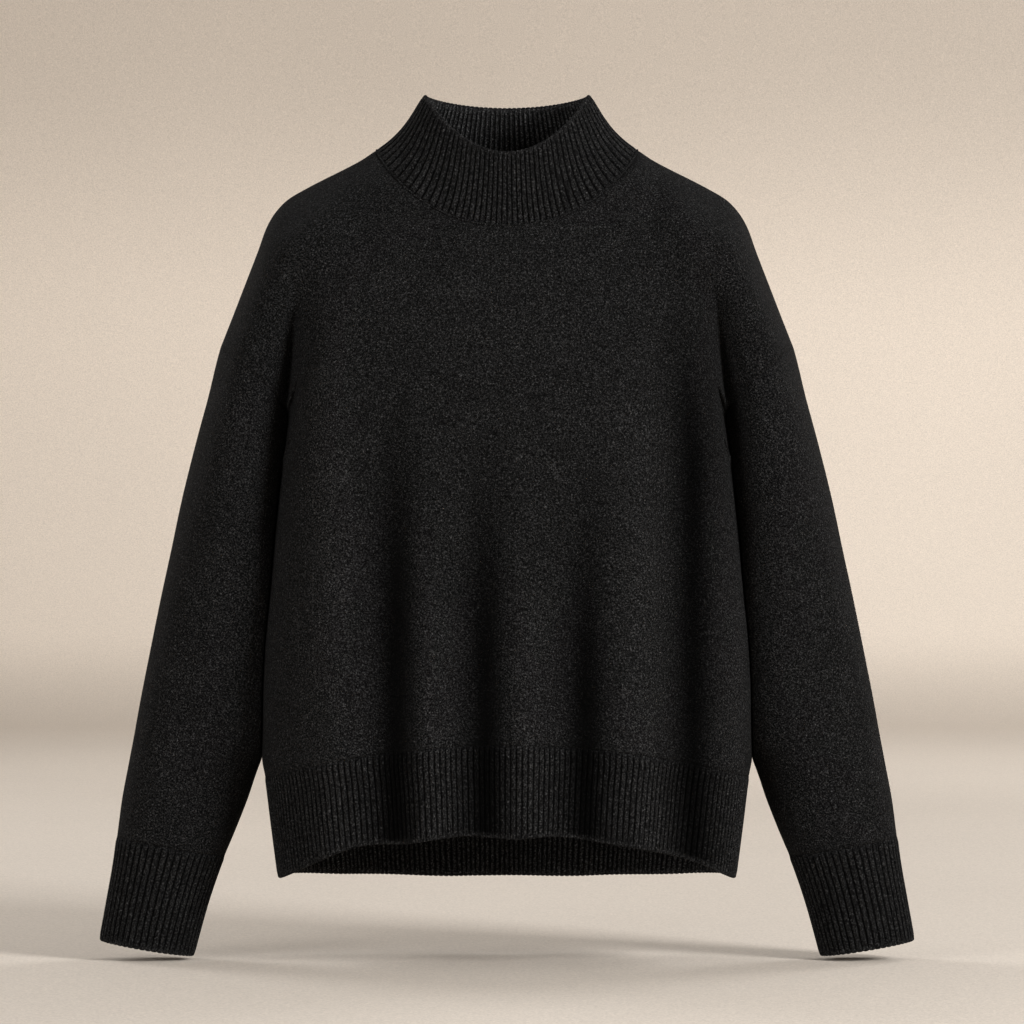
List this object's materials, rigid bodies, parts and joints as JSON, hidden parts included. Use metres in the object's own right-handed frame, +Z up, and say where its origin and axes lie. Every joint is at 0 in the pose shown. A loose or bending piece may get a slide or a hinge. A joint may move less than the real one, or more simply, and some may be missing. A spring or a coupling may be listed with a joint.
{
  "type": "turtleneck sweater",
  "caption": "Hollow, worn-shape turtleneck sweater with dropped shoulders, long sleeves, a short ribbed funnel collar, ribbed cuffs and a ribbed, slightly arched hem.",
  "frame": {"origin": "in the middle between the shoulders, at the height where the collar meets the shoulder, where the wearer's shoulders hold it up", "axes": "+Z up, the front faces -Y, +X towards the wearer's left"},
  "size_m": [0.6778, 0.2662, 0.7125],
  "materials": {
    "plain_knit": "fine near-black wool stockinette with a soft fuzzy surface",
    "rib_knit": "near-black one-by-one wool rib"
  },
  "bodies": {
    "root": {"front": "plain_knit", "back": "plain_knit", "sleeve_left": "plain_knit", "sleeve_right": "plain_knit", "hem_front": "rib_knit", "hem_back": "rib_knit", "cuff_left": "rib_knit", "cuff_right": "rib_knit", "collar": "rib_knit"}
  },
  "joints": []
}
